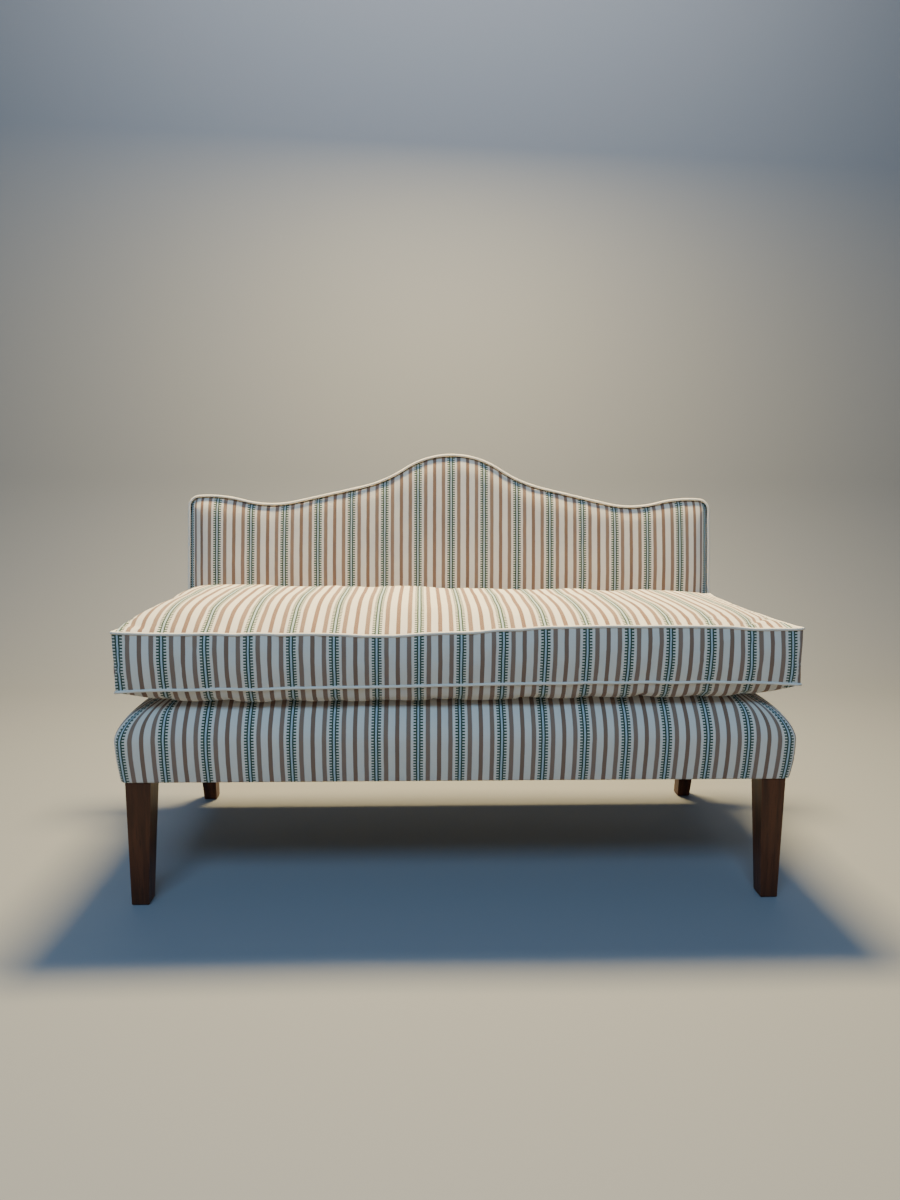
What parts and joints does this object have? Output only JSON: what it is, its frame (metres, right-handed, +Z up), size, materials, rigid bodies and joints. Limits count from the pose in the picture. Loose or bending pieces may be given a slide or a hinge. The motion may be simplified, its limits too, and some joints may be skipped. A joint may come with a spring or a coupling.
{
  "type": "upholstered banquette",
  "caption": "Armless camel-back banquette on tapered wooden legs, with a padded seat base, a raked serpentine-topped back and a loose boxed seat cushion in striped fabric.",
  "frame": {"origin": "on the floor, under the middle of the overall box", "axes": "+X along the seat to a facing viewer's right, -Y towards the front, +Z up"},
  "size_m": [1.226, 0.592, 0.8388],
  "materials": {
    "leg_wood": "dark reddish-brown stain under satin lacquer",
    "frame_wood": "sawn beech, unfinished",
    "screw_steel": "zinc plated",
    "webbing": "woven webbing",
    "hessian": "coarse jute weave",
    "padding": "felted padding",
    "striped_fabric": "woven linen-cotton stripe in cream, brown, green and blue",
    "lining": "plain calico",
    "black_cloth": "black dust cloth",
    "feather_pad": "feather-filled cambric",
    "zip_tape": "woven tape with a nylon chain",
    "zip_metal": "plated zinc alloy"
  },
  "bodies": {
    "frame": {"front_left_leg": "leg_wood", "front_right_leg": "leg_wood", "rear_left_leg": "leg_wood", "rear_right_leg": "leg_wood", "front_seat_rail": "frame_wood", "rear_seat_rail": "frame_wood", "left_seat_rail": "frame_wood", "right_seat_rail": "frame_wood", "seat_brace": "frame_wood", "corner_blocks": "frame_wood", "back_top_rail": "frame_wood", "back_tacking_rail": "frame_wood", "back_centre_upright": "frame_wood", "back_dowels": "frame_wood", "corner_block_screws": "screw_steel", "seat_cross_webbing": "webbing", "seat_long_webbing": "webbing", "back_webbing": "webbing", "seat_hessian": "hessian", "back_hessian": "hessian", "seat_padding": "padding", "back_padding": "padding", "seat_cover": "striped_fabric", "inside_back_cover": "striped_fabric", "back_border": "striped_fabric", "back_piping": "striped_fabric", "outside_back_cover": "striped_fabric", "outside_back_lining": "lining", "bottom_cloth": "black_cloth"},
    "cushion": {"cushion_pad": "feather_pad", "cushion_top_panel": "striped_fabric", "cushion_bottom_panel": "striped_fabric", "cushion_border": "striped_fabric", "cushion_rear_border": "striped_fabric", "cushion_top_piping": "striped_fabric", "cushion_bottom_piping": "striped_fabric", "cushion_zip": "zip_tape"},
    "zip_slider": {"zip_slider": "zip_metal"}
  },
  "joints": [
    {"name": "cushion_lift", "type": "slide", "parent": "frame", "child": "cushion", "axis": [0, 0, 1], "range_m": [0, 0.46]},
    {"name": "zip_slide", "type": "slide", "parent": "cushion", "child": "zip_slider", "axis": [-1, 0, 0], "range_m": [0, 1.11]}
  ]
}
